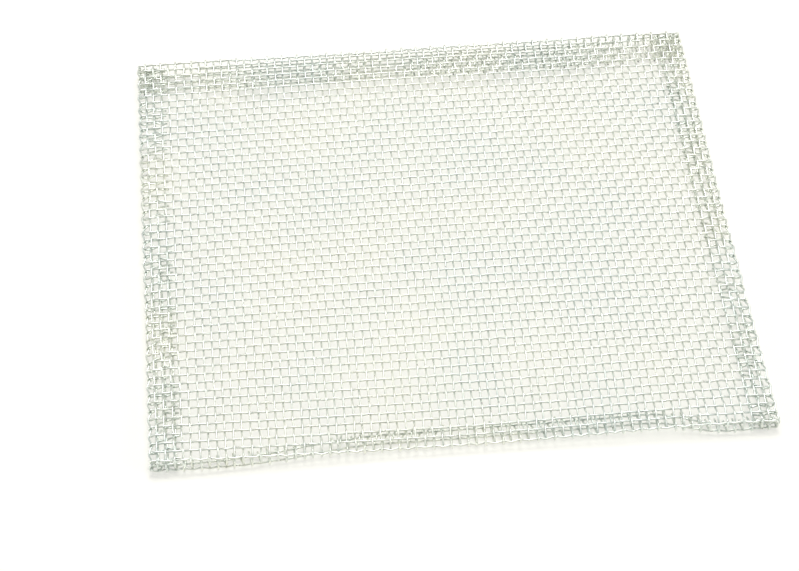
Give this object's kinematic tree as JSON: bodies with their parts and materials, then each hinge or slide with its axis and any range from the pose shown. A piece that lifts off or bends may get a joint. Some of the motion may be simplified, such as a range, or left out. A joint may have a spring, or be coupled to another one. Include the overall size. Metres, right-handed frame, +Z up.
{
  "type": "wire gauze",
  "caption": "Square sheet of plain-woven steel wire cloth with its edges folded under, to spread a flame's heat under glassware.",
  "frame": {"origin": "middle of the sheet, on the surface that its corners rest on", "axes": "+Z up through the sheet, X along its front edge, Y towards its back edge"},
  "size_m": [0.125, 0.1268, 0.0049],
  "materials": {
    "wire": "galvanised, satin"
  },
  "bodies": {
    "root": {"gauze": "wire"}
  },
  "joints": []
}
